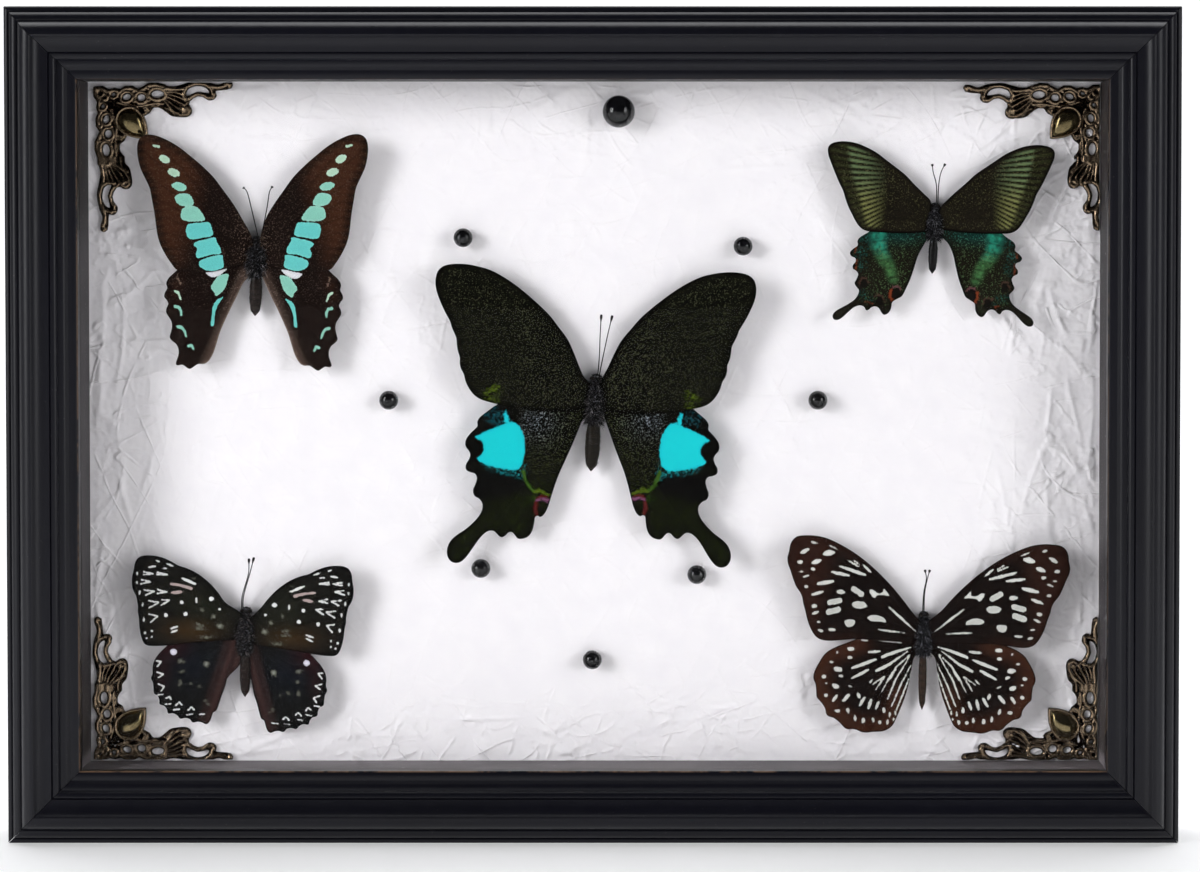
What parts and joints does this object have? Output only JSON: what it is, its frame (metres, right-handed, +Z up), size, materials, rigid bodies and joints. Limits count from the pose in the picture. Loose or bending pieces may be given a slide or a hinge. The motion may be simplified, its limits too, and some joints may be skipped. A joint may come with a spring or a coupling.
{
  "type": "framed butterfly specimen",
  "caption": "Black shadow-box frame, glazed, with set butterflies, black beads and pierced bronze corner ornaments on crinkled white paper. It stands on its edge or hangs.",
  "frame": {"origin": "on the ground under the middle of the frame, with the hanger counted in its depth", "axes": "+X to the right as seen from the front, +Y away from the viewer, so the glass faces -Y, +Z up"},
  "size_m": [0.356, 0.0378, 0.254],
  "materials": {
    "frame_paint": "satin black paint",
    "spacer": "matt",
    "glass": "clear",
    "paper": "crinkled paper",
    "mount_board": "matt",
    "back_panel": "brown board",
    "steel": "zinc plated",
    "bronze": "antique bronze",
    "bead": "gloss",
    "wing_paris": "scaled wing",
    "wing_bluebottle": "scaled wing",
    "wing_peacock": "scaled wing",
    "wing_constable": "scaled wing",
    "wing_tiger": "scaled wing",
    "insect_body": "hairy"
  },
  "bodies": {
    "root": {"rail_top": "frame_paint", "rail_left": "frame_paint", "rail_bottom": "frame_paint", "rail_right": "frame_paint", "glass": "glass", "spacer_top": "spacer", "spacer_bottom": "spacer", "spacer_left": "spacer", "spacer_right": "spacer", "backing_paper": "paper", "mount_board": "mount_board", "back_panel": "back_panel", "point_top_left": "steel", "point_top_right": "steel", "point_bottom_left": "steel", "point_bottom_right": "steel", "point_left": "steel", "point_right": "steel", "hanger_strip": "steel", "hanger_nail_left": "steel", "hanger_nail_right": "steel", "bead_top": "bead", "bead_upper_left": "bead", "bead_upper_right": "bead", "bead_left": "bead", "bead_right": "bead", "bead_lower_left": "bead", "bead_lower_right": "bead", "bead_bottom": "bead", "ornament_top_left": "bronze", "ornament_top_right": "bronze", "ornament_bottom_left": "bronze", "ornament_bottom_right": "bronze", "paris_body": "insect_body", "paris_forewing_left": "wing_paris", "paris_hindwing_left": "wing_paris", "paris_forewing_right": "wing_paris", "paris_hindwing_right": "wing_paris", "bluebottle_body": "insect_body", "bluebottle_forewing_left": "wing_bluebottle", "bluebottle_hindwing_left": "wing_bluebottle", "bluebottle_forewing_right": "wing_bluebottle", "bluebottle_hindwing_right": "wing_bluebottle", "peacock_body": "insect_body", "peacock_forewing_left": "wing_peacock", "peacock_hindwing_left": "wing_peacock", "peacock_forewing_right": "wing_peacock", "peacock_hindwing_right": "wing_peacock", "constable_body": "insect_body", "constable_forewing_left": "wing_constable", "constable_hindwing_left": "wing_constable", "constable_forewing_right": "wing_constable", "constable_hindwing_right": "wing_constable", "tiger_body": "insect_body", "tiger_forewing_left": "wing_tiger", "tiger_hindwing_left": "wing_tiger", "tiger_forewing_right": "wing_tiger", "tiger_hindwing_right": "wing_tiger"}
  },
  "joints": []
}
